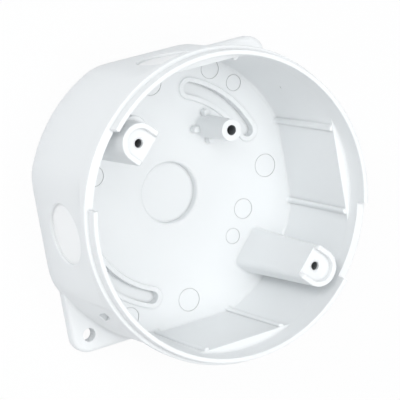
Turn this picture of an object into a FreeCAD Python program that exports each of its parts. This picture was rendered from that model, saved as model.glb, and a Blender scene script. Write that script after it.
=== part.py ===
import FreeCAD, Part
import math
import os

V = FreeCAD.Vector

# Detector mounting base, moulded in one piece. Millimetres.
# Origin at the centre of the flat back, +Z out of the open mouth.
# The four flats face +X, -X, +Y and -Y; the two ears lie on the 45 degree diagonal.
# What comes in pairs repeats half a turn about Z.

# shell, from the rim inwards and from the top down
rim_r = 51.5
height = 47.8
band_proud = 0.4
band_h = 3.2
wall_draft = 0.9
shoulder_w = 1.3
lip_h = 4.1
lip_t = 1.6
wall_t = 2.8
floor_t = 3.6
floor_bevel = 0.8
edge_round = 0.35
back_round = 0.6

wall_top_r = rim_r - band_proud
back_r = wall_top_r - wall_draft
lip_outer_r = rim_r - shoulder_w
lip_inner_r = lip_outer_r - lip_t
floor_r = back_r - wall_t
shoulder_z = height - lip_h
band_z = shoulder_z - band_h

# flats for the conduit entries, with a ledge inside over each
flat_depth = 3.0
flat_bevel = 2.4
flat_t = 1.9
flare_drop = 5.3
ledge_drop = 4.6
bead_r = 1.05
bead_y = 14.2
bead_set = 0.1
bead_top_gap = 0.3
bead_tip_h = 0.6
bead_tip_in = 0.5

flat_out = back_r - flat_depth
flat_in = flat_out - flat_t
flare_z = band_z - flare_drop
ledge_z = shoulder_z - ledge_drop

# gaps in the raised lip
gap_mid_angle = 151.8
gap_span = 30.0

# knock-outs, left closed by a thin web, with a shallow disc inside the side ones
entry_d = 20.5
entry_z = 19.0
web_t = 0.7
disc_depth = 0.15

# curved slots for the fixing screws, closed by the same web at the back
slot_r = 35.5
slot_w = 4.2
slot_mid_angle = 45.0
slot_span = 45.0
border_w = 7.4
border_h = 0.6
border_bevel = 0.35

# ears, and the upright relief in the wall over each
ear_set_in = 2.5
ear_t = 4.0
ear_corner_r = 6.0
ear_hole_d = 4.5
ear_round = 1.4
relief_draft = 0.1

ear_half = flat_out - ear_set_in
ear_hole_at = ear_half - ear_corner_r

# D-shaped posts that carry the detector base, each with a U-shaped rim
post_r = 39.0
post_angle = 135.0
post_half_w = 6.3
post_flat = 4.1
post_arc_out = 0.65
post_side_draft = 1.1
post_front_draft = 0.5
post_face_drop = 3.9
post_rim_drop = 1.8
post_rim_w = 1.7
post_rim_back = 0.9
post_corner_round = 1.5
post_bore_d = 3.0
post_bore_depth = 16.0
post_seat_d = 4.2
post_seat_depth = 0.3
boss_r = 4.1
boss_out = 1.2
boss_side = 4.2
boss_z = 38.5
boss_bevel = 0.4

post_face_z = height - post_face_drop
post_rim_z = height - post_rim_drop

# round post with four gusset feet
pillar_x = 17.4
pillar_y = 18.9
pillar_h = 18.0
pillar_d = 7.5
pillar_bore_d = 3.4
pillar_bore_depth = 13.0
pillar_chamfer = 0.15
pillar_skirt = 1.0
foot_reach = 5.9
foot_t = 2.0
foot_h = 3.0

pillar_top_z = floor_t + pillar_h

# ejector marks on the floor: x, y, diameter
mark_depth = 0.2
marks = (
    (37.5, 0.0, 8.0),
    (0.0, 37.5, 8.0),
    (26.3, -12.4, 7.0),
    (20.6, -20.6, 5.5),
    (22.8, 37.2, 6.8),
    (30.8, 30.6, 5.7),
)

# blind drain hole leaning steeply down into the wall over each ear
drain_d = 3.1
drain_depth = 4.5
drain_angle = -145.4
drain_z = 24.5
drain_inward = 12.4
drain_sideways = 21.4

# how far one form runs into another, and a cutter past the face that it opens
join = 0.4
past = 2.0

# allowance when edges are picked by where they lie
slack = 0.01


def turned(points):
    """Solid of revolution about Z from a closed (r, z) outline."""
    wire = Part.makePolygon([V(r, 0, z) for r, z in points + points[:1]])
    return Part.Face(wire).revolve(V(0, 0, 0), V(0, 0, 1), 360)


def extruded(points, vector):
    """Prism from a closed outline of corner points."""
    return Part.Face(Part.makePolygon(points + points[:1])).extrude(vector)


def turn(shape, angle):
    """A copy of the shape, turned about Z."""
    other = shape.copy()
    other.rotate(V(0, 0, 0), V(0, 0, 1), angle)
    return other


def quarters(shape):
    return [turn(shape, 90 * k) for k in range(4)]


def halves(shape):
    return [turn(shape, 180 * k) for k in range(2)]


def at_angle(r, angle, z=0.0):
    a = math.radians(angle)
    return V(r * math.cos(a), r * math.sin(a), z)


def arc_band(r_mid, width, mid_angle, span, z0, z1):
    """Round-ended curved bar between two heights."""
    a0 = mid_angle - span / 2
    a1 = mid_angle + span / 2
    r_out = r_mid + width / 2
    r_in = r_mid - width / 2
    cap = math.degrees(width / 2 / r_mid)
    arcs = [
        Part.Arc(at_angle(r_out, a0), at_angle(r_out, mid_angle), at_angle(r_out, a1)),
        Part.Arc(at_angle(r_out, a1), at_angle(r_mid, a1 + cap), at_angle(r_in, a1)),
        Part.Arc(at_angle(r_in, a1), at_angle(r_in, mid_angle), at_angle(r_in, a0)),
        Part.Arc(at_angle(r_in, a0), at_angle(r_mid, a0 - cap), at_angle(r_out, a0)),
    ]
    wire = Part.Wire([arc.toShape() for arc in arcs])
    wire.translate(V(0, 0, z0))
    return Part.Face(wire).extrude(V(0, 0, z1 - z0))


def sector(r, mid_angle, span, z0, z1):
    """Wedge about Z between two angles, reaching at least to r."""
    reach = r / math.cos(math.radians(span / 4))
    points = [
        V(0, 0, z0),
        at_angle(reach, mid_angle - span / 2, z0),
        at_angle(reach, mid_angle, z0),
        at_angle(reach, mid_angle + span / 2, z0),
    ]
    return extruded(points, V(0, 0, z1 - z0))


def outer_body():
    """Drafted wall with four flats, bevelled in and flared out to the round band, and the lip."""
    round_wall = turned([
        (0, 0),
        (back_r - back_round, 0),
        (back_r, back_round),
        (wall_top_r, band_z),
        (rim_r, band_z + band_proud),
        (rim_r, shoulder_z - edge_round),
        (rim_r - edge_round, shoulder_z),
        (lip_outer_r, shoulder_z),
        (lip_outer_r, height - edge_round),
        (lip_outer_r - edge_round, height),
        (0, height),
    ])
    outline = [
        (flat_out - back_round, -past),
        (flat_out - back_round, 0),
        (flat_out, back_round),
        (flat_out, flare_z),
        (wall_top_r, band_z),
        (rim_r + past, band_z),
        (rim_r + past, -past),
    ]
    trim = extruded([V(x, -rim_r, z) for x, z in outline], V(0, 2 * rim_r, 0))
    body = round_wall.cut(quarters(trim))
    corners = []
    for e in body.Edges:
        b = e.BoundBox
        if b.ZMin < back_round + slack and flare_z - slack < b.ZMax < flare_z + slack:
            corners.append(e)
    return body.makeChamfer(flat_bevel, corners)


def cavity():
    """Inside space: round at the mouth, with four flats below the ledges."""
    space = turned([
        (0, floor_t),
        (floor_r, floor_t),
        (lip_inner_r, shoulder_z),
        (lip_inner_r, height - edge_round),
        (lip_inner_r + edge_round, height),
        (lip_inner_r + edge_round, height + past),
        (0, height + past),
    ])
    filled = Part.makeBox(rim_r, 2 * rim_r, ledge_z, V(flat_in, -rim_r, 0))
    space = space.cut(quarters(filled))
    foot = [e for e in space.Edges if e.BoundBox.ZMax < floor_t + slack]
    return space.makeChamfer(floor_bevel, foot)


def bead_pair():
    """Two half-round upright beads on an inner flat, with bevelled ends."""
    top = ledge_z - bead_top_gap - bead_tip_h
    x = flat_in - bead_set
    beads = []
    for y in (bead_y, -bead_y):
        rod = Part.makeCylinder(bead_r, top - floor_t + join, V(x, y, floor_t - join))
        tip = Part.makeCone(bead_r, bead_r - bead_tip_in, bead_tip_h, V(x, y, top))
        beads.append(rod.fuse(tip))
    return beads


def lip_gap():
    """Space where the raised lip is left out, down to the shoulder."""
    wedge = sector(rim_r + past, gap_mid_angle, gap_span, shoulder_z, height + past)
    inside = Part.makeCylinder(lip_inner_r - join, height, V(0, 0, shoulder_z - past))
    return wedge.cut(inside)


def ear():
    """Square corner plate with a rounded tip and top edge, drilled for a wall screw."""
    plate = Part.makeBox(ear_half, ear_half, ear_t)
    near = ear_hole_at - slack
    tip = [e for e in plate.Edges if e.BoundBox.XMin > near and e.BoundBox.YMin > near]
    plate = plate.makeFillet(ear_corner_r, tip[:1])
    rim = []
    for e in plate.Edges:
        b = e.BoundBox
        if b.ZMin > ear_t - slack and b.XMax > near and b.YMax > near:
            rim.append(e)
    plate = plate.makeFillet(ear_round, rim)
    inside = Part.makeCylinder(back_r - wall_t / 2, ear_t)
    hole = Part.makeCylinder(ear_hole_d / 2, ear_t + 2 * past, V(ear_hole_at, ear_hole_at, -past))
    return plate.cut([inside, hole])


def ear_relief():
    """Thin layer off the outside of the wall over an ear, leaving it nearly upright."""
    low_r = back_r
    top_r = low_r - relief_draft
    ring = turned([
        (low_r, ear_t),
        (rim_r + past, ear_t),
        (rim_r + past, band_z),
        (top_r, band_z),
    ])
    edge_angle = math.degrees(math.asin(ear_half / low_r))
    span = 2 * (edge_angle - slot_mid_angle)
    return ring.common(sector(rim_r + 2 * past, slot_mid_angle, span, ear_t, band_z))


def post_blank(z0):
    """Drafted D about the screw axis: a cone behind, flat sides and a flat front towards -X."""
    low_w = post_half_w + post_side_draft
    low_front = post_flat + post_front_draft
    sides = [(-low_w, z0), (-post_half_w, post_rim_z), (post_half_w, post_rim_z), (low_w, z0)]
    front = [(post_arc_out, z0), (-low_front, z0), (-post_flat, post_rim_z), (post_arc_out, post_rim_z)]
    block = extruded([V(post_arc_out, y, z) for y, z in sides], V(-post_arc_out - 2 * post_flat, 0, 0))
    block = block.common(extruded([V(x, -2 * low_w, z) for x, z in front], V(0, 4 * low_w, 0)))
    corners = [e for e in block.Edges if e.BoundBox.XMax < 0 and e.BoundBox.ZLength > post_corner_round]
    block = block.makeFillet(post_corner_round, corners)
    back = turn(Part.makeCone(low_w, post_half_w, post_rim_z - z0, V(0, 0, z0), V(0, 0, 1), 180), -90)
    back.translate(V(post_arc_out, 0, 0))
    return block.fuse(back)


def side_boss(z0):
    """Round boss, bevelled at the top, that stands half buried in the side of a post."""
    shaft = Part.makeCylinder(boss_r, boss_z - boss_bevel - z0, V(0, 0, z0))
    tip = Part.makeCone(boss_r, boss_r - boss_bevel, boss_bevel, V(0, 0, boss_z - boss_bevel))
    boss = shaft.fuse(tip)
    boss.translate(V(boss_out, -boss_side, 0))
    return boss


def screw_post(with_boss):
    """Drafted D post with a U-shaped rim round its screw face."""
    z0 = floor_t - join
    body = post_blank(z0)
    if with_boss:
        body = body.fuse(side_boss(z0))
    inner = post_half_w - post_rim_w
    width = 2 * post_half_w
    rise = post_rim_z - post_face_z + past
    pocket = Part.makeCylinder(inner, rise, V(post_arc_out, 0, post_face_z))
    channel = Part.makeBox(width + post_arc_out, 2 * inner, rise, V(-width, -inner, post_face_z))
    arm_end = post_rim_back - post_flat
    front = Part.makeBox(width, 2 * width, rise, V(arm_end - width, -width, post_face_z))
    bore = Part.makeCylinder(post_bore_d / 2, post_bore_depth + past, V(0, 0, post_face_z - post_bore_depth))
    seat = Part.makeCylinder(post_seat_d / 2, post_seat_depth + past, V(0, 0, post_face_z - post_seat_depth))
    body = body.cut([pocket.fuse(channel), front, bore, seat])
    body.translate(V(post_r, 0, 0))
    return body


def screw_posts():
    """The two posts, half a turn apart; only the first has the boss."""
    return [turn(screw_post(True), post_angle), turn(screw_post(False), post_angle + 180)]


def pillar():
    """Round post with a conical skirt, four small feet and a bored, chamfered top."""
    z0 = floor_t - join
    post = Part.makeCylinder(pillar_d / 2, pillar_top_z - z0, V(0, 0, z0))
    low_r = pillar_d / 2 + pillar_skirt + join
    skirt = Part.makeCone(low_r, pillar_d / 2, pillar_skirt + join, V(0, 0, z0))
    leg = Part.makeBox(foot_reach - foot_t / 2, foot_t, foot_h + join, V(0, -foot_t / 2, z0))
    leg_end = Part.makeCylinder(foot_t / 2, foot_h + join, V(foot_reach - foot_t / 2, 0, z0))
    post = post.fuse([skirt] + quarters(leg) + quarters(leg_end))
    r = pillar_bore_d / 2
    bore = Part.makeCylinder(r, pillar_bore_depth + past, V(0, 0, pillar_top_z - pillar_bore_depth))
    lead = Part.makeCone(r, r + pillar_chamfer, pillar_chamfer, V(0, 0, pillar_top_z - pillar_chamfer))
    post = post.cut([bore, lead])
    post.translate(V(pillar_x, pillar_y, 0))
    return post


def slot_border():
    """Raised, bevelled border round a curved slot."""
    top = floor_t + border_h
    border = arc_band(slot_r, border_w, slot_mid_angle, slot_span, floor_t - join, top)
    edges = [e for e in border.Edges if e.BoundBox.ZMin > top - slack]
    return border.makeChamfer(border_bevel, edges)


def slot_recess():
    return arc_band(slot_r, slot_w, slot_mid_angle, slot_span, web_t, floor_t + border_h + past)


def side_entry():
    """Knock-out cup in an outer flat, and the shallow disc that marks it inside."""
    x_axis = V(1, 0, 0)
    r = entry_d / 2
    web_in = flat_in + disc_depth
    cup = Part.makeCylinder(r, flat_t + past, V(web_in + web_t, 0, entry_z), x_axis)
    disc = Part.makeCylinder(r, past + disc_depth, V(flat_in - past, 0, entry_z), x_axis)
    return [cup, disc]


def floor_entry():
    """Knock-out cup in the middle of the floor."""
    return Part.makeCylinder(entry_d / 2, floor_t, V(0, 0, web_t))


def drain():
    """Blind hole that slopes down, in and along the wall."""
    out = at_angle(1, drain_angle)
    along = at_angle(1, drain_angle + 90)
    inward = math.sin(math.radians(drain_inward))
    sideways = math.sin(math.radians(drain_sideways))
    axis = out * inward - along * sideways + V(0, 0, 1)
    axis.normalize()
    start = out * back_r + V(0, 0, drain_z) - axis * drain_depth
    return Part.makeCylinder(drain_d / 2, 2 * drain_depth, start, axis)


def mounting_base():
    body = outer_body().cut(cavity())
    body = body.fuse(halves(ear()))
    body = body.cut(halves(lip_gap()) + halves(ear_relief()))
    added = screw_posts() + halves(slot_border()) + [pillar()]
    for bead in bead_pair():
        added += quarters(bead)
    body = body.fuse(added)
    cutters = halves(slot_recess()) + halves(drain()) + [floor_entry()]
    for cut in side_entry():
        cutters += quarters(cut)
    for x, y, d in marks:
        cutters += halves(Part.makeCylinder(d / 2, mark_depth + join, V(x, y, floor_t - mark_depth)))
    return body.cut(cutters).removeSplitter()


os.makedirs("parts", exist_ok=True)
base = mounting_base()
print("valid", base.isValid(), "solids", len(base.Solids), "volume", round(base.Volume))
base.exportStep("parts/mounting_base.step")
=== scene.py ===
import math

import bpy
import numpy as np
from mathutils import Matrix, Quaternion, Vector


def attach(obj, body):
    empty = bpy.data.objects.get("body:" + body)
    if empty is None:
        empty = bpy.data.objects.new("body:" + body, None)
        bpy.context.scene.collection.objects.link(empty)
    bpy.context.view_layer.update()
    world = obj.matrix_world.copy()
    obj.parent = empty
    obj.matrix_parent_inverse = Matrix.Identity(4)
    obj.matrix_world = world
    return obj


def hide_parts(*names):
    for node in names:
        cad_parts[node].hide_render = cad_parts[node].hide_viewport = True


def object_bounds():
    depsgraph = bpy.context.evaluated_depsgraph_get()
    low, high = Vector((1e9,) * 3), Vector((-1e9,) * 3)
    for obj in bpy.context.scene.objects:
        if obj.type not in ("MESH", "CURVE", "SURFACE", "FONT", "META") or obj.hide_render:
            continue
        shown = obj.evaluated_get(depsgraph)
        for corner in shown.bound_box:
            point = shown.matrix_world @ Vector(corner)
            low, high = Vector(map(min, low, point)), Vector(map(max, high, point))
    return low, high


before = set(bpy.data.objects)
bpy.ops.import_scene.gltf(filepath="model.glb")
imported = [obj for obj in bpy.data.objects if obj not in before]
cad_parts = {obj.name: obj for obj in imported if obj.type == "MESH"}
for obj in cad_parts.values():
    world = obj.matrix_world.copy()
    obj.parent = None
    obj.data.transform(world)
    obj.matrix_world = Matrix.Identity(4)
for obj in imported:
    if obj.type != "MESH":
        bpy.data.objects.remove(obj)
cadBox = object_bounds()
mm = 0.001

view = {
    "location": (-342.29, 165.03, 691.01),  # mm, the lens in the part's own frame
    "aim": (0.15, -0.23, 24.0),
    "roll": -102.77,  # degrees, so that +Y is nearly upright in the picture
    "lens": 211.54,
    "sensor": 36.0,
    "near": 0.01,  # metres, and so is far
    "far": 50,
}

# Each lamp: angle about +Z and height above the floor in degrees, power in watts, width in metres.
light = {
    "skyColour": (0.965, 0.98, 1.0),
    "skyStrength": 0.498,
    "lamps": (
        (135.0, 33.0, 1.33, 0.25),
        (135.0, 60.0, 1.75, 0.5),
        (235.0, 35.0, 0.55, 0.5),
        (315.0, 30.0, 0.97, 0.5),
        (0.0, 88.0, 2.55, 0.5),
    ),
    "distance": 0.9,  # metres
    "lampColour": (1.0, 0.998, 0.99),
}

floorLook = {
    "colour": (0.8, 0.81, 0.82),
    "whiteShare": 0.94,  # how much of what the camera sees is plain white
    "size": 8.0,
    "drop": 0.0001,  # metres below the back face, so that the two don't lie in one plane
    "clearReach": 0.00025,  # metres: rays that start nearer than this pass through
}

plastic = {
    "colour": (0.87, 0.889, 0.899),
    "cloudColour": (0.853, 0.875, 0.887),
    "cloudScale": 38.0,  # very faint patches, cells a metre
    "cloudDetail": 3.0,
    "borePaintedShade": (0.22, 0.235, 0.25),  # painted shade deep in the narrow screw bores, where little light comes back
    "webPaintedLight": (0.985, 0.994, 0.998),  # painted light: the thin knock-out webs are painted paler, standing in for the light that comes through them
    "shadeReach": 0.001,  # metres: painted shade, corners and grooves narrower than this are painted a little darker
    "shadeTone": 0.62,
    "shadeRays": 8,
    "roughness": (0.34, 0.44),
    "grainScale": 2600.0,  # fine spark-eroded grain of the mould, cells a metre
    "grainDetail": 1.0,
    "grainHeight": 0.0001,  # metres, of which only the share below shows
    "grainShare": 0.05,
}

# The rest is in millimetres and degrees. The origin is at the centre of the back, +Z out of the mouth.
quarters = (0, 90, 180, 270)
halves = (0, 180)
join = 0.4  # how far a form is sunk into the one that carries it
past = 2.0  # how far a cutter stands out of the face that it opens
skim = 0.01  # what keeps two faces from lying in one plane

shell = {
    "rimR": -cadBox[0][0] / mm,
    "height": cadBox[1][2] / mm,
    "bandProud": 0.4,
    "bandH": 3.2,
    "bandStep": ((0.35, 0.06), (0.8, 0.22), (1.0, 0.5)),  # share of the way out to the band, and rise
    "draft": 0.9,
    "shoulderW": 1.3,
    "lipH": 4.1,
    "lipT": 1.6,
    "wallT": 2.8,
    "floorT": 3.6,
    "backRound": 0.6,
    "rimRound": 0.5,
    "lipRound": 0.45,
    "channelRound": 0.5,  # hollow corner between shoulder and lip
    "floorRound": 1.0,
    "columns": 400,
    "wallRows": 15,
    "flareRows": 9,
    "lipRows": 4,
    "innerRows": 11,
    "backRings": (0.03, 0.3, 0.6, 0.85),  # shares of the way out over the back
    "floorRings": (0.94, 0.8, 0.6, 0.3, 0.03),
}

flats = {
    "depth": 3.0,
    "wall": 1.9,
    "blend": 1.5,  # how softly a flat runs into the round wall
    "innerBlend": 0.3,
    "flareDrop": 5.3,
    "flarePower": 1.7,  # the flare bends out more and more towards the band
    "ledgeDrop": 4.6,
    "ledgeHollow": 0.7,  # hollow corner between a ledge and the wall behind it
    "ledgeEdge": 0.35,
    "hollowShare": 0.7,  # most that the hollow takes of a ledge's width, and then the edge
    "edgeShare": 0.25,
    "hollowGap": 0.1,
}

# Upright half-round beads inside the flats, near both ends of each.
beads = {
    "r": 1.05,
    "y": 14.3,
    "topGap": 0.1,
    "tip": 0.9,
    "tipRows": (0.45, 0.52, 0.6, 0.7, 0.82),  # drops under the ledge
    "columns": (0.0, 0.2, 0.4, 0.58, 0.72, 0.84, 0.92, 0.97, 1.0, 1.03, 1.12, 1.3),  # shares of its radius
    "ownReach": 1.35,  # the even columns keep this share of the radius away
}

lipGaps = {
    "middle": (151.8, -28.2),
    "span": 30.0,
    "endRound": 0.3,
    "endReach": 0.6,  # degrees to each side of an end that get closer columns
    "endColumns": 13,
}

ears = {
    "angles": (45, 225),
    "setIn": 2.5,
    "thick": 4.0,
    "tipR": 6.0,
    "holeD": 4.5,
    "holeMouth": 0.12,
    "holePoints": 56,
    "edgeRound": 1.4,
    "lowRound": 0.3,
    "reliefDraft": 0.1,
    "reliefFade": 0.7,  # degrees over which the wall steps in above the ear
    "hollow": 0.9,  # hollow corner between the ear and the wall above it
    "hollowSetIn": 3.0,  # degrees that this corner stops short of the ear's ends
    "hollowFade": 2.0,
    "roundSteps": 5,
    "tipPoints": 13,
    "edgePoints": 5,
    "arcPoints": 14,
}

wallTopR = shell["rimR"] - shell["bandProud"]
backR = wallTopR - shell["draft"]
lipOuterR = shell["rimR"] - shell["shoulderW"]
lipInnerR = lipOuterR - shell["lipT"]
innerFloorR = backR - shell["wallT"]
shoulderZ = shell["height"] - shell["lipH"]
bandZ = shoulderZ - shell["bandH"]
floorZ = shell["floorT"]
flatOut = backR - flats["depth"]
flatIn = flatOut - flats["wall"]
flareZ = bandZ - flats["flareDrop"]
ledgeZ = shoulderZ - flats["ledgeDrop"]
earHalf = flatOut - ears["setIn"]
reliefHalf = math.degrees(math.asin(earHalf / backR)) - 45  # from an ear's middle to its ends
beadAngle = math.degrees(math.atan2(beads["y"], flatIn))  # from a flat's middle
beadOut = math.hypot(flatIn, beads["y"])


# Camera at its measured place, aimed, then rolled about its own axis.
def makeCamera():
    data = bpy.data.cameras.new("photoCamera")
    data.lens = view["lens"]
    data.sensor_width = view["sensor"]
    data.clip_start = view["near"]
    data.clip_end = view["far"]
    camera = bpy.data.objects.new("photoCamera", data)
    location = Vector(view["location"]) * mm
    forward = (Vector(view["aim"]) * mm - location).normalized()
    turn = Quaternion(forward, math.radians(view["roll"])) @ forward.to_track_quat("-Z", "Y")
    camera.location = location
    camera.rotation_mode = "QUATERNION"
    camera.rotation_quaternion = turn
    bpy.context.scene.collection.objects.link(camera)
    bpy.context.scene.camera = camera


# Even pale sky, and round lamps all at one distance, each turned to the origin.
def makeLights():
    world = bpy.data.worlds.new("softSky")
    bpy.context.scene.world = world
    world.use_nodes = True
    back = world.node_tree.nodes["Background"]
    back.inputs["Color"].default_value = (*light["skyColour"], 1)
    back.inputs["Strength"].default_value = light["skyStrength"]
    for angle, height, power, width in light["lamps"]:
        data = bpy.data.lights.new("softLamp", "AREA")
        data.shape = "DISK"
        data.size = width
        data.energy = power
        data.color = light["lampColour"]
        lamp = bpy.data.objects.new("softLamp", data)
        a = math.radians(angle)
        e = math.radians(height)
        way = Vector((math.cos(a) * math.cos(e), math.sin(a) * math.cos(e), math.sin(e)))
        lamp.location = way * light["distance"]
        lamp.rotation_mode = "QUATERNION"
        lamp.rotation_quaternion = way.to_track_quat("Z", "Y")
        bpy.context.scene.collection.objects.link(lamp)


# Points in metres and lists of point numbers, put into a mesh as they are.
def meshPiece(name, points, faces):
    mesh = bpy.data.meshes.new(name)
    mesh.from_pydata(points.tolist(), [], faces)
    piece = bpy.data.objects.new(name, mesh)
    bpy.context.scene.collection.objects.link(piece)
    return piece


# Plain sheet under the part: pale, and near white to the camera, with the shadow kept faint.
# It is clear from below and close up, so that the back face can be looked at.
def makeFloor():
    half = floorLook["size"] / 2
    z = -floorLook["drop"]
    corners = np.array([(-half, -half, z), (half, -half, z), (half, half, z), (-half, half, z)])
    floor = meshPiece("floor", corners, [(0, 1, 2, 3)])
    material = bpy.data.materials.new("floorPaper")
    material.use_nodes = True
    nodes = material.node_tree.nodes
    links = material.node_tree.links
    nodes.clear()
    matte = nodes.new("ShaderNodeBsdfDiffuse")
    matte.inputs["Color"].default_value = (*floorLook["colour"], 1)
    white = nodes.new("ShaderNodeEmission")
    path = nodes.new("ShaderNodeLightPath")
    share = nodes.new("ShaderNodeMath")
    share.operation = "MULTIPLY"
    share.inputs[1].default_value = floorLook["whiteShare"]
    mix = nodes.new("ShaderNodeMixShader")
    side = nodes.new("ShaderNodeNewGeometry")
    close = nodes.new("ShaderNodeMath")
    close.operation = "LESS_THAN"
    close.inputs[1].default_value = floorLook["clearReach"]
    clearShare = nodes.new("ShaderNodeMath")
    clearShare.operation = "MAXIMUM"
    clear = nodes.new("ShaderNodeBsdfTransparent")
    sheet = nodes.new("ShaderNodeMixShader")
    out = nodes.new("ShaderNodeOutputMaterial")
    links.new(path.outputs["Is Camera Ray"], share.inputs[0])
    links.new(share.outputs[0], mix.inputs[0])
    links.new(matte.outputs[0], mix.inputs[1])
    links.new(white.outputs[0], mix.inputs[2])
    links.new(path.outputs["Ray Length"], close.inputs[0])
    links.new(side.outputs["Backfacing"], clearShare.inputs[0])
    links.new(close.outputs[0], clearShare.inputs[1])
    links.new(clearShare.outputs[0], sheet.inputs[0])
    links.new(mix.outputs[0], sheet.inputs[1])
    links.new(clear.outputs[0], sheet.inputs[2])
    links.new(sheet.outputs[0], out.inputs["Surface"])
    floor.data.materials.append(material)


# Satin plastic: faint cloudy colour, painted shade that darkens its corners and grooves, uneven gloss and a
# very fine moulded grain.
def makePlastic(name, colour, cloudColour):
    material = bpy.data.materials.new(name)
    material.use_nodes = True
    nodes = material.node_tree.nodes
    links = material.node_tree.links
    shader = nodes["Principled BSDF"]
    place = nodes.new("ShaderNodeTexCoord")
    cloud = nodes.new("ShaderNodeTexNoise")
    cloud.inputs["Scale"].default_value = plastic["cloudScale"]
    cloud.inputs["Detail"].default_value = plastic["cloudDetail"]
    links.new(place.outputs["Object"], cloud.inputs["Vector"])
    tint = nodes.new("ShaderNodeMix")
    tint.data_type = "RGBA"
    tint.inputs["A"].default_value = (*colour, 1)
    tint.inputs["B"].default_value = (*cloudColour, 1)
    links.new(cloud.outputs["Fac"], tint.inputs["Factor"])
    # Painted shade: an occlusion node darkens the colour in corners and grooves, standing in for the shade
    # there.
    hollow = nodes.new("ShaderNodeAmbientOcclusion")
    hollow.samples = plastic["shadeRays"]
    hollow.inputs["Distance"].default_value = plastic["shadeReach"]
    cornerShade = nodes.new("ShaderNodeMapRange")
    cornerShade.inputs["To Min"].default_value = plastic["shadeTone"]
    links.new(hollow.outputs["AO"], cornerShade.inputs["Value"])
    shade = nodes.new("ShaderNodeVectorMath")
    shade.operation = "SCALE"
    links.new(tint.outputs["Result"], shade.inputs["Vector"])
    links.new(cornerShade.outputs["Result"], shade.inputs["Scale"])
    links.new(shade.outputs["Vector"], shader.inputs["Base Color"])
    gloss = nodes.new("ShaderNodeMapRange")
    gloss.inputs["To Min"].default_value = plastic["roughness"][0]
    gloss.inputs["To Max"].default_value = plastic["roughness"][1]
    links.new(cloud.outputs["Fac"], gloss.inputs["Value"])
    links.new(gloss.outputs["Result"], shader.inputs["Roughness"])
    grain = nodes.new("ShaderNodeTexNoise")
    grain.inputs["Scale"].default_value = plastic["grainScale"]
    grain.inputs["Detail"].default_value = plastic["grainDetail"]
    links.new(place.outputs["Object"], grain.inputs["Vector"])
    bump = nodes.new("ShaderNodeBump")
    bump.inputs["Strength"].default_value = plastic["grainShare"]
    bump.inputs["Distance"].default_value = plastic["grainHeight"]
    links.new(grain.outputs["Fac"], bump.inputs["Height"])
    links.new(bump.outputs["Normal"], shader.inputs["Normal"])
    return material


# Closed solid from rings of points stacked one above the other: rings has the shape
# (rows, points round, 3) and each ring runs anticlockwise as seen from the last one.
# A face joins each pair of neighbours to the pair above, and the two ends are capped.
def ringSolid(name, rings):
    rows, around = rings.shape[:2]
    index = np.arange(rows * around).reshape(rows, around)
    ahead = np.roll(index, -1, axis=1)
    sides = np.stack([index[:-1], ahead[:-1], ahead[1:], index[1:]], axis=-1).reshape(-1, 4)
    faces = sides.tolist()
    faces.append(index[0, ::-1].tolist())
    faces.append(index[-1].tolist())
    return meshPiece(name, rings.reshape(-1, 3) * mm, faces)


# Rings turned about Z by an angle in degrees, then moved.
def placed(rings, angle=0.0, x=0.0, y=0.0):
    a = math.radians(angle)
    turn = np.array([(math.cos(a), math.sin(a), 0), (-math.sin(a), math.cos(a), 0), (0, 0, 1)])
    return rings @ turn + (x, y, 0)


# Rings whose own axis is laid from Z on to X, without turning them inside out.
def laidOnX(rings):
    return rings[..., [2, 0, 1]]


# Quarter round in a few steps, as (sideways, upwards) shares of its radius from 0 to 1.
def quarterRound(steps=4):
    a = np.linspace(0, math.pi / 2, steps + 1)
    return 1 - np.cos(a), np.sin(a)


# Growth of an outline against height for a form that stands on a floor: sunk start,
# hollow foot of radius foot, straight side, and a rounded top edge of radius top.
def standing(low, high, foot, top):
    across, up = quarterRound()
    grow = np.concatenate([[foot], foot * (1 - up), -top * across])
    z = np.concatenate([[low - join], low + foot * across, high - top + top * up])
    return grow, z


# Growth against height for a cutter: rounded lower edge, straight side, and a mouth that
# flares by a quarter round where it leaves the face that it opens.
def sinking(low, face, bottom, mouth):
    across, up = quarterRound()
    grow = np.concatenate([-bottom * (1 - up), mouth * across, [mouth + skim]])
    z = np.concatenate([low + bottom * across, face - mouth + (mouth + skim) * up, [face + past]])
    return grow, z


# Circle about Z, of radius plus grow at each height z.
def circleRings(radius, grow, z, around=64):
    t = np.arange(around) * 2 * math.pi / around
    r = (radius + grow)[:, None]
    return np.stack([r * np.cos(t), r * np.sin(t), z[:, None] + 0 * t], axis=-1)


# Curved bar with round ends: two arcs about Z, joined by half circles about their ends.
def arcBarRings(middleR, width, middle, span, grow, z, steps=44, capSteps=14):
    a0 = math.radians(middle - span / 2)
    a1 = math.radians(middle + span / 2)
    half = (width / 2 + grow)[:, None]
    outward = np.linspace(a0, a1, steps)
    back = outward[::-1]
    cap = np.linspace(0, math.pi, capSteps + 2)[1:-1]
    outerX = (middleR + half) * np.cos(outward)
    outerY = (middleR + half) * np.sin(outward)
    endX = middleR * math.cos(a1) + half * np.cos(a1 + cap)
    endY = middleR * math.sin(a1) + half * np.sin(a1 + cap)
    innerX = (middleR - half) * np.cos(back)
    innerY = (middleR - half) * np.sin(back)
    startX = middleR * math.cos(a0) + half * np.cos(a0 + math.pi + cap)
    startY = middleR * math.sin(a0) + half * np.sin(a0 + math.pi + cap)
    x = np.concatenate([outerX, endX, innerX, startX], axis=1)
    y = np.concatenate([outerY, endY, innerY, startY], axis=1)
    return np.stack([x, y, z[:, None] + 0 * x], axis=-1)


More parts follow.
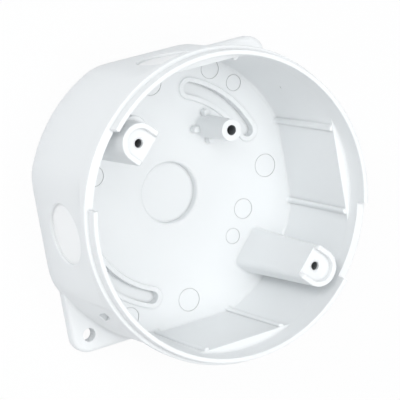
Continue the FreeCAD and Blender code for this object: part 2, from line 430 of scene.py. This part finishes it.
# D outline about its screw axis: half circle towards +X, straight sides, and a flat front
# towards -X with rounded corners. halfW, front and corner hold one value for each ring.
# The half circle's centre stands a little outside the screw axis.
def dRings(halfW, front, corner, z):
    out = posts["arcOut"]
    halfW = halfW[:, None]
    front = front[:, None]
    corner = corner[:, None]
    a = np.linspace(-math.pi / 2, math.pi / 2, posts["backPoints"])
    c = np.linspace(0, math.pi / 2, posts["cornerPoints"])
    side = np.linspace(0, 1, posts["sidePoints"] + 2)[1:-1]
    along = np.linspace(1, -1, posts["frontPoints"] + 2)[1:-1]
    x = np.concatenate([
        out + halfW * np.cos(a),
        out + side * (corner - front - out),
        corner - front - corner * np.sin(c),
        -front + 0 * along,
        corner - front - corner * np.sin(c[::-1]),
        out + (1 - side) * (corner - front - out),
    ], axis=1)
    y = np.concatenate([
        halfW * np.sin(a),
        halfW + 0 * side,
        halfW - corner + corner * np.cos(c),
        along * (halfW - corner),
        corner - halfW - corner * np.cos(c[::-1]),
        -halfW + 0 * side,
    ], axis=1)
    return np.stack([x, y, z[:, None] + 0 * x], axis=-1)


# The smaller of two lengths, with the corner between them blended over the given width.
def softLeast(a, b, width):
    share = np.clip(0.5 + 0.5 * (b - a) / width, 0, 1)
    return b + (a - b) * share - width * share * (1 - share)


# Rise from 0 to 1 as 3 t squared less 2 t cubed.
def smoothStep(x):
    t = np.clip(x, 0, 1)
    return t * t * (3 - 2 * t)


# Angle in degrees to the nearest of the given directions.
def angleFrom(theta, directions):
    away = [np.abs((theta - d + 180) % 360 - 180) for d in directions]
    return np.min(away, axis=0)


# Degrees from the nearest of the X and Y axes, between -45 and 45.
def fromAxis(theta):
    return (theta + 45) % 90 - 45


# How far out a plane square to the nearest axis lies in the direction theta: its distance
# over the cosine of the angle from that axis.
def flatReach(theta, distance):
    return distance / np.cos(np.radians(fromAxis(theta)))


# Outer wall: a drafted cone, blended with four flats that flare out again under the band,
# and stepped in to a nearly upright wall over the two ears.
def outerWall(theta, z):
    cone = backR + shell["draft"] * z / bandZ
    flare = np.clip((z - flareZ) / (bandZ - flareZ), 0, 1) ** flats["flarePower"]
    plane = flatOut + (wallTopR + flats["blend"] / 2 - flatOut) * flare
    wall = softLeast(cone, flatReach(theta, plane), flats["blend"])
    over = smoothStep((reliefHalf - angleFrom(theta, ears["angles"])) / ears["reliefFade"] + 0.5)
    upright = backR - ears["reliefDraft"] * z / bandZ
    return wall + np.minimum(upright - wall, 0) * over + earHollow(theta, z)


# The quarter-round hollow where the wall meets an ear's top. Lower down the ear covers it.
def earHollow(theta, z):
    rise = np.clip((z - ears["thick"]) / ears["hollow"], 0, 1)
    fill = ears["hollow"] * (1 - np.sqrt(1 - (1 - rise) ** 2))
    inside = reliefHalf - ears["hollowSetIn"] - angleFrom(theta, ears["angles"])
    return fill * smoothStep(inside / ears["hollowFade"] + 0.5)


# Inside wall as a cone, in proportion to height from the floor's radius to the lip's.
def innerCone(z):
    return innerFloorR + (lipInnerR - innerFloorR) * (z - floorZ) / (shoulderZ - floorZ)


# Sideways distance from the nearest bead's middle line, over the bead's radius. A bead keeps
# to one angle about Z, so the columns of the shell can follow its sides.
def beadAway(theta):
    return beadOut * np.sin(np.radians(np.abs(fromAxis(theta)) - beadAngle)) / beads["r"]


# A bead stands in from the wall by a half circle and ends in a dome under the ledge.
def beadHeight(theta, z):
    rise = np.clip((z - ledgeZ + beads["topGap"] + beads["tip"]) / beads["tip"], 0, 1)
    return beads["r"] * np.sqrt(np.clip(1 - rise ** 2 - beadAway(theta) ** 2, 0, 1))


# Inside wall all round: the smaller of cone and flats, less the beads that stand in from it.
def innerWall(theta, z):
    wall = softLeast(innerCone(z), flatReach(theta, flatIn), flats["innerBlend"])
    return wall - beadHeight(theta, z)


# Directions of the shell's columns in degrees: even all round, and closer over the beads and
# at the ends of the lip's gaps.
def shellColumns():
    even = np.arange(shell["columns"]) * 360 / shell["columns"]
    even = even[np.abs(beadAway(even)) > beads["ownReach"]]
    half = np.array(beads["columns"])
    over = np.degrees(np.concatenate([-half[:0:-1], half]) * beads["r"] / beadOut)
    onBeads = [(a + side * beadAngle + over) % 360 for a in quarters for side in (-1, 1)]
    near = np.linspace(-lipGaps["endReach"], lipGaps["endReach"], lipGaps["endColumns"])
    atGaps = [(m + side * lipGaps["span"] / 2 + near) % 360 for m in lipGaps["middle"] for side in (-1, 1)]
    return np.unique(np.round(np.concatenate([even] + onBeads + atGaps), 4))


# The lip's own profile as (radius, height), from the hollow at its outer foot over the rounded
# top to its inner foot.
def lipProfile():
    across, up = quarterRound()
    h = shell["channelRound"]
    k = shell["lipRound"]
    height = shell["height"]
    middleZ = shoulderZ + shell["lipH"] / 2
    lip = [(lipOuterR + h * (1 - u), shoulderZ + h * s) for s, u in zip(across, up)]
    lip += [(lipOuterR, middleZ)]
    lip += [(lipOuterR - k * s, height - k + k * u) for s, u in zip(across, up)]
    lip += [(lipInnerR + k * s, height - k + k * u) for s, u in zip(across[::-1], up[::-1])]
    return lip + [(lipInnerR, middleZ), (lipInnerR, shoulderZ)]


# The shell is one closed profile carried round Z. Each row gives a radius and a height for
# every direction: from the middle of the back out, up the outer wall, over the band and the
# lip, down the inner wall with its ledges, and in over the floor to the middle.
def shellRings():
    theta = shellColumns()
    across, up = quarterRound()
    ones = np.ones_like(theta)
    rows = []

    def row(r, z):
        rows.append((r * ones, z * ones))

    # back and outer wall
    bottom = outerWall(theta, 0.0)
    for share in shell["backRings"]:
        row(bottom * share, 0.0)
    b = shell["backRound"]
    for s, u in zip(across, up):
        row(outerWall(theta, b * s) - b * (1 - u), b * s)
    wallZ = np.linspace(b, flareZ, shell["wallRows"] + 1)[1:]
    for z in np.union1d(wallZ, ears["thick"] + ears["hollow"] * across):
        row(outerWall(theta, z), z)
    for z in np.linspace(flareZ, bandZ, shell["flareRows"] + 1)[1:]:
        row(outerWall(theta, z), z)

    # band, shoulder and lip
    top = outerWall(theta, bandZ)
    for share, rise in shell["bandStep"]:
        row(top + (shell["rimR"] - top) * share, bandZ + rise)
    e = shell["rimRound"]
    for s, u in zip(across, up):
        row(shell["rimR"] - e * s, shoulderZ - e + e * u)
    lip = lipProfile()
    share = gapShare(theta)
    startR = lip[0][0]
    for i, (r, z) in enumerate(lip):
        lowR = startR + (lipInnerR - startR) * i / (len(lip) - 1)  # the same row, pressed flat in a gap
        row(r + (lowR - r) * share, z + (shoulderZ - z) * share)

    # inner wall and ledges
    hollowTop = ledgeZ + flats["ledgeHollow"] + flats["hollowGap"]
    for z in np.linspace(shoulderZ, hollowTop, shell["lipRows"] + 1)[1:]:
        row(innerCone(z), z)
    rim = innerCone(ledgeZ)
    edge = innerWall(theta, ledgeZ)
    hollow = np.minimum(flats["ledgeHollow"], flats["hollowShare"] * (rim - edge) + 2 * skim)
    crest = np.minimum(flats["ledgeEdge"], flats["edgeShare"] * (rim - edge) + skim)
    for s, u in zip(across, up):
        row(rim - hollow * s, ledgeZ + hollow * (1 - u))
    for s, u in zip(across, up):
        row(edge + crest * (1 - u), ledgeZ - crest * s)
    for drop in beads["tipRows"]:
        row(innerWall(theta, ledgeZ - drop), ledgeZ - drop)
    f = shell["floorRound"]
    tipFoot = ledgeZ - beads["topGap"] - beads["tip"]
    for z in np.linspace(tipFoot, floorZ + f, shell["innerRows"] + 1)[:-1]:
        row(innerWall(theta, z), z)

    # floor
    for s, u in zip(across[::-1], up[::-1]):
        z = floorZ + f * s
        row(innerWall(theta, z) - f * (1 - u), z)
    low = innerWall(theta, floorZ) - f
    for share in shell["floorRings"]:
        row(low * share, floorZ)
    r = np.array([r for r, z in rows])
    z = np.array([z for r, z in rows])
    t = np.radians(theta)
    return np.stack([r * np.cos(t), r * np.sin(t), z], axis=-1)


# 1 inside a gap of the lip and 0 outside, with soft ends.
def gapShare(theta):
    fade = math.degrees(lipGaps["endRound"] / lipOuterR)
    inside = lipGaps["span"] / 2 - angleFrom(theta, lipGaps["middle"])
    return smoothStep(inside / fade + 0.5)


# Ear plate: square corner with a rounded tip, outside an arc within the wall. inset draws
# the outer edges in for the rounded rims.
def earRings():
    half, tip, thick = earHalf, ears["tipR"], ears["thick"]
    across, up = quarterRound(ears["roundSteps"])
    low, top = ears["lowRound"], ears["edgeRound"]
    inset = np.concatenate([low * (1 - up), top * across])[:, None]
    z = np.concatenate([low * across, thick - top + top * up])
    innerR = backR - shell["wallT"] / 2
    reach = np.sqrt(innerR ** 2 - (half - inset) ** 2)
    centre = half - tip
    corner = np.linspace(0, math.pi / 2, ears["tipPoints"])
    run = np.linspace(0, 1, ears["edgePoints"])[:-1]
    start = np.arctan2(reach, half - inset)
    sweep = np.linspace(0, 1, ears["arcPoints"])[1:-1]
    arc = math.pi / 2 - start + (2 * start - math.pi / 2) * sweep
    x = np.concatenate([
        half - inset + 0 * run,
        centre + (tip - inset) * np.cos(corner),
        centre + (reach - centre) * (1 - run[::-1]),
        innerR * np.cos(arc),
    ], axis=1)
    y = np.concatenate([
        reach + (centre - reach) * run,
        centre + (tip - inset) * np.sin(corner),
        half - inset + 0 * run,
        innerR * np.sin(arc),
    ], axis=1)
    return np.stack([x, y, z[:, None] + 0 * x], axis=-1)


posts = {
    "r": 39.0,
    "angles": (135.0, 315.0),
    "halfW": 6.3,
    "front": 4.1,  # from the screw axis to the flat
    "arcOut": 0.65,  # centre of the round back, outside the screw axis
    "sideDraft": 1.1,
    "frontDraft": 0.5,
    "corner": 1.5,
    "cornerDraft": 1.0,
    "rimDrop": 1.8,
    "faceDrop": 3.9,
    "rimW": 1.7,
    "armEnd": (0.25, 1.5),  # behind the flat, at the face and at the top of the rim
    "armLead": 1.1,
    "armSteps": 7,
    "pocketBottom": 0.25,
    "pocketMouth": 0.3,
    "pocketCorner": 0.3,
    "edge": 0.4,
    "foot": 0.8,
    "boreR": 1.45,
    "boreDepth": 16.0,
    "litDepth": 1.1,  # wall of the bore above the part painted as shade
    "seatR": 2.15,
    "seatDepth": 0.35,
    "seatEdge": 0.06,
    "seatFlare": 0.1,
    "backPoints": 33,
    "cornerPoints": 7,
    "sidePoints": 4,
    "frontPoints": 6,
    "borePoints": 48,
}

boss = {"r": 4.1, "out": 1.2, "side": 4.2, "top": 38.5, "edge": 0.6, "foot": 0.6}

pillar = {
    "x": 17.4,
    "y": 18.9,
    "r": 3.65,
    "height": 18.0,
    "draft": 0.2,
    "edge": 0.25,
    "foot": 1.2,
    "boreR": 1.68,
    "boreDepth": 13.0,
    "boreBottom": 0.1,
    "boreMouth": 0.15,
    "litDepth": 0.35,
    "footReach": 5.9,
    "footT": 2.0,
    "footH": 3.0,
    "footEdge": 0.3,
    "footHollow": 0.3,
    "footPoints": 15,
}

slots = {
    "r": 35.5,
    "width": 4.2,
    "middle": (45.0, 225.0),
    "span": 45.0,
    "borderW": 7.4,
    "borderH": 0.6,
    "borderEdge": 0.25,
    "borderFoot": 0.35,
    "mouth": 0.22,
    "bottom": 0.2,
}

knockouts = {
    "r": 10.25,
    "sideR": 10.1,  # at the web, inside the rounded mouth
    "z": 19.0,
    "web": 0.7,
    "mouth": 0.6,
    "bottom": 0.25,
    "centreMouth": 0.9,
    "centreBottom": 0.12,
    "sideFace": 46.15,  # from Z to the sunk face of a side web
    "points": 128,
}

# Ejector marks on the floor, as x, y and radius. Each has a twin half a turn round.
marks = {
    "places": (
        (37.5, 0.0, 4.0),
        (0.0, 37.5, 4.0),
        (26.3, -12.4, 3.5),
        (20.6, -20.6, 2.75),
        (22.8, 37.2, 3.4),
        (30.8, 30.6, 2.85),
    ),
    "depth": 0.08,
    "groove": 0.3,
    "grooveW": 0.2,
    "grooveSlope": 0.3,  # share of the groove's width that each of its sides takes
    "flare": 0.05,
}

drains = {
    "r": 1.55,
    "angle": -145.4,
    "z": 24.5,
    "depth": 4.5,
    "inward": 12.4,  # degrees of lean into the wall, and then along it
    "sideways": 21.4,
    "points": 40,
}

postTop = shell["height"] - posts["rimDrop"]
postFace = shell["height"] - posts["faceDrop"]
pillarTop = floorZ + pillar["height"]


# Angle, x and y of each screw post, on a circle about Z.
def postPlaces():
    for angle in posts["angles"]:
        a = math.radians(angle)
        yield angle, posts["r"] * math.cos(a), posts["r"] * math.sin(a)


# Screw post: D outline that grows evenly towards the floor, with a hollow foot and a round top edge.
def postRings():
    grow, z = standing(floorZ, postTop, posts["foot"], posts["edge"])
    lean = (postTop - z) / (postTop - floorZ)
    halfW = posts["halfW"] + posts["sideDraft"] * lean + grow
    front = posts["front"] + posts["frontDraft"] * lean + grow
    corner = posts["corner"] + posts["cornerDraft"] * lean + grow
    return dRings(halfW, front, corner, z)


# What leaves the U-shaped rim on a post: a smaller D that runs out through the front.
def pocketRings():
    grow, z = sinking(postFace, postTop, posts["pocketBottom"], posts["pocketMouth"])
    halfW = posts["halfW"] - posts["rimW"] + grow
    return dRings(halfW, posts["front"] + past + grow, posts["pocketCorner"] + np.abs(grow) / 2, z)


# Block that shortens the two arms of the rim: its near side follows their rounded ends.
def armEndRings():
    first, last = posts["armEnd"]
    across, up = quarterRound(posts["armSteps"])
    z = np.append(postFace + skim + (postTop - postFace) * up, postTop + past)
    near = -posts["front"] + first + (last - first) * np.append(across, posts["armLead"])
    far = 0 * near - posts["front"] - past
    wide = 0 * near + posts["halfW"] + past
    x = np.stack([far, near, near, far], axis=1)
    y = np.stack([-wide, -wide, wide, wide], axis=1)
    return np.stack([x, y, z[:, None] + 0 * x], axis=-1)


# Straight narrow bore with a conical seat at its mouth.
def screwBoreRings():
    r, deep, edge = posts["boreR"], posts["seatDepth"], posts["seatEdge"]
    lit = deep + posts["litDepth"]
    wide = posts["seatR"] - r
    z = postFace + np.array([-posts["boreDepth"], -lit, -deep, -deep + edge, -edge, skim, past])
    grow = np.array([0, 0, 0, edge, wide - edge, wide, wide + posts["seatFlare"]])
    return circleRings(r, grow, z, posts["borePoints"])


# Small foot of the round post: straight bar with a half round end, in plan.
def footRings():
    half = pillar["footT"] / 2
    grow, z = standing(floorZ, floorZ + pillar["footH"], pillar["footHollow"], pillar["footEdge"])
    half = (half + grow)[:, None]
    reach = pillar["footReach"] - pillar["footT"] / 2
    a = np.linspace(-math.pi / 2, math.pi / 2, pillar["footPoints"])
    x = np.concatenate([0 * half, reach + half * np.cos(a), 0 * half], axis=1)
    y = np.concatenate([-half, half * np.sin(a), half], axis=1)
    return np.stack([x, y, z[:, None] + 0 * x], axis=-1)


# Ejector mark: very shallow disc with a fine groove round it.
def markRings(radius):
    deep, groove, w = marks["depth"], marks["groove"], marks["grooveW"]
    slope = marks["grooveSlope"] * w
    z = floorZ + np.array([-deep, -groove, -groove, skim, past])
    grow = np.array([-w, slope - w, -slope, 0.0, marks["flare"]])
    return circleRings(radius, grow, z)


# Blind drain: round cutter on an axis that leans in and along the wall.
def drainRings():
    a = math.radians(drains["angle"])
    out = np.array([math.cos(a), math.sin(a), 0])
    along = np.array([-math.sin(a), math.cos(a), 0])
    inward = math.sin(math.radians(drains["inward"]))
    sideways = math.sin(math.radians(drains["sideways"]))
    axis = out * inward - along * sideways + (0, 0, 1)
    axis = axis / np.linalg.norm(axis)
    side = np.cross(axis, out)
    side = side / np.linalg.norm(side)
    other = np.cross(axis, side)
    depth = drains["depth"]
    disc = circleRings(drains["r"], np.zeros(2), np.array([-depth, depth]), drains["points"])
    start = out * backR + (0, 0, drains["z"])
    return disc @ np.array([side, other, axis]) + start


# Everything that is joined to the shell: ears, posts, boss, round post with its feet, slot borders.
def addedForms():
    forms = [placed(earRings(), angle) for angle in halves]
    forms += [placed(postRings(), angle, x, y) for angle, x, y in postPlaces()]
    grow, z = standing(floorZ, boss["top"], boss["foot"], boss["edge"])
    besidePost = circleRings(boss["r"], grow, z) + (posts["r"] + boss["out"], -boss["side"], 0)
    forms.append(placed(besidePost, posts["angles"][0]))
    grow, z = standing(floorZ, pillarTop, pillar["foot"], pillar["edge"])
    grow = grow + pillar["draft"] * (pillarTop - z) / pillar["height"]
    forms.append(placed(circleRings(pillar["r"], grow, z), 0, pillar["x"], pillar["y"]))
    forms += [placed(footRings(), angle, pillar["x"], pillar["y"]) for angle in quarters]
    grow, z = standing(floorZ, floorZ + slots["borderH"], slots["borderFoot"], slots["borderEdge"])
    for middle in slots["middle"]:
        forms.append(arcBarRings(slots["r"], slots["borderW"], middle, slots["span"], grow, z))
    return forms


# Cutters in groups: those of one group don't touch each other.
def cutForms():
    wide = []
    narrow = []
    ends = []
    grow, z = sinking(knockouts["web"], floorZ + slots["borderH"], slots["bottom"], slots["mouth"])
    for middle in slots["middle"]:
        wide.append(arcBarRings(slots["r"], slots["width"], middle, slots["span"], grow, z))
    grow, z = sinking(knockouts["web"], floorZ, knockouts["centreBottom"], knockouts["centreMouth"])
    wide.append(circleRings(knockouts["r"], grow, z, knockouts["points"]))
    grow, z = sinking(knockouts["sideFace"], flatOut, knockouts["bottom"], knockouts["mouth"])
    cup = laidOnX(circleRings(knockouts["sideR"], grow, z, knockouts["points"])) + (0, 0, knockouts["z"])
    wide += [placed(cup, angle) for angle in quarters]
    for x, y, radius in marks["places"]:
        wide += [placed(markRings(radius) + (x, y, 0), angle) for angle in halves]
    grow, z = sinking(-past, ears["thick"], 0.0, ears["holeMouth"])
    hole = circleRings(ears["holeD"] / 2, grow, z, ears["holePoints"])
    at = earHalf - ears["tipR"]
    for angle in halves:
        wide.append(placed(hole + (at, at, 0), angle))
        narrow.append(placed(drainRings(), angle))
    for angle, x, y in postPlaces():
        wide.append(placed(pocketRings(), angle, x, y))
        narrow.append(placed(screwBoreRings(), angle, x, y))
        ends.append(placed(armEndRings(), angle, x, y))
    grow, z = sinking(pillarTop - pillar["boreDepth"], pillarTop, pillar["boreBottom"], pillar["boreMouth"])
    bore = circleRings(pillar["boreR"], grow, z, posts["borePoints"])
    narrow.append(placed(bore, 0, pillar["x"], pillar["y"]))
    return wide, narrow, ends


# One mesh from several closed ones that don't touch, with their points numbered on.
def joined(name, forms):
    points = []
    faces = []
    count = 0
    for i, rings in enumerate(forms):
        single = ringSolid(name + str(i), rings)
        mesh = single.data
        loose = np.empty(len(mesh.vertices) * 3)
        mesh.vertices.foreach_get("co", loose)
        points.append(loose.reshape(-1, 3))
        faces += [[count + v for v in face.vertices] for face in mesh.polygons]
        count += len(mesh.vertices)
        bpy.data.objects.remove(single)
        bpy.data.meshes.remove(mesh)
    return meshPiece(name, np.concatenate(points), faces)


# One exact boolean step, left live until the piece is settled.
def addBoolean(piece, other, operation):
    step = piece.modifiers.new(other.name, "BOOLEAN")
    step.operation = operation
    step.solver = "MANIFOLD"
    step.object = other


# The finished mesh takes the place of the plain mesh and its modifiers.
def settle(piece):
    graph = bpy.context.evaluated_depsgraph_get()
    mesh = bpy.data.meshes.new_from_object(piece.evaluated_get(graph))
    piece.modifiers.clear()
    piece.data = mesh


# The moulding: shell, added forms and cutters brought together into one closed skin.
def makeMoulding():
    piece = ringSolid("mouldedBase", shellRings())
    tools = []
    for i, rings in enumerate(addedForms()):
        tools.append(ringSolid("added" + str(i), rings))
        addBoolean(piece, tools[-1], "UNION")
    for name, forms in zip(("wideCuts", "narrowCuts", "armEnds"), cutForms()):
        tools.append(joined(name, forms))
        addBoolean(piece, tools[-1], "DIFFERENCE")
    settle(piece)
    for tool in tools:
        bpy.data.objects.remove(tool)
    return piece


skin = {
    "sharpAngle": 32,  # degrees: a steeper edge stays crisp
    "flatWeight": 80,
    "boreSlack": 0.05,
    "webMargin": 0.1,  # how far a web's paler face, painted light, keeps from its rim
    "webIn": 0.5,  # and from the flat's inner and outer faces
    "webOut": 0.3,
}


# Smooth faces with the true edges kept, and large flat faces given the say at their borders.
def smoothSkin(piece):
    piece.data.shade_smooth()
    piece.data.set_sharp_from_angle(angle=math.radians(skin["sharpAngle"]))
    weighted = piece.modifiers.new("flatFacesFirst", "WEIGHTED_NORMAL")
    weighted.keep_sharp = True
    weighted.weight = skin["flatWeight"]
    settle(piece)


# Faces sorted by place: plain, painted shade deep in a screw bore, or painted light on a thin side web.
def paintFaces(piece, materials):
    plain, inBoreShade, onPaintedWeb = range(len(materials))
    mesh = piece.data
    mesh.materials.clear()
    for material in materials:
        mesh.materials.append(material)
    centre = np.empty(len(mesh.polygons) * 3)
    mesh.polygons.foreach_get("center", centre)
    x, y, z = centre.reshape(-1, 3).T / mm
    kind = np.full(len(mesh.polygons), plain, dtype=np.int32)
    bores = [(pillar["x"], pillar["y"], pillar["boreR"], pillarTop - pillar["litDepth"])]
    litZ = postFace - posts["seatDepth"] - posts["litDepth"]
    bores += [(boreX, boreY, posts["boreR"], litZ) for angle, boreX, boreY in postPlaces()]
    # Painted shade: faces deep in the bores take the dark material.
    for boreX, boreY, r, top in bores:
        within = np.hypot(x - boreX, y - boreY) < r + skin["boreSlack"]
        kind[within & (z < top) & (z > floorZ)] = inBoreShade
    # Painted light: faces on the thin side webs take the paler material.
    for along, across in ((x, y), (y, x)):
        disc = np.hypot(across, z - knockouts["z"]) < knockouts["sideR"] - skin["webMargin"]
        deep = np.abs(along) < flatOut - skin["webOut"]
        kind[disc & deep & (np.abs(along) > flatIn + skin["webIn"])] = onPaintedWeb
    mesh.polygons.foreach_set("material_index", kind)
    mesh.update()


bpy.context.scene.view_settings.view_transform = "Standard"
makeCamera()
makeLights()
makeFloor()
print("stage ready")
moulding = makeMoulding()
print("moulding joined:", len(moulding.data.polygons), "faces")
smoothSkin(moulding)
print("edges smoothed:", len(moulding.data.vertices), "points")
# The second material is painted shade deep in the bores, and the third painted light on the thin side webs.
paintFaces(moulding, (
    makePlastic("coolWhitePlastic", plastic["colour"], plastic["cloudColour"]),
    makePlastic("boreShade", plastic["borePaintedShade"], plastic["borePaintedShade"]),
    makePlastic("thinWebPaintedLight", plastic["webPaintedLight"], plastic["webPaintedLight"]),
))
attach(moulding, "root")
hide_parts("mounting_base")
print("moulding dressed")
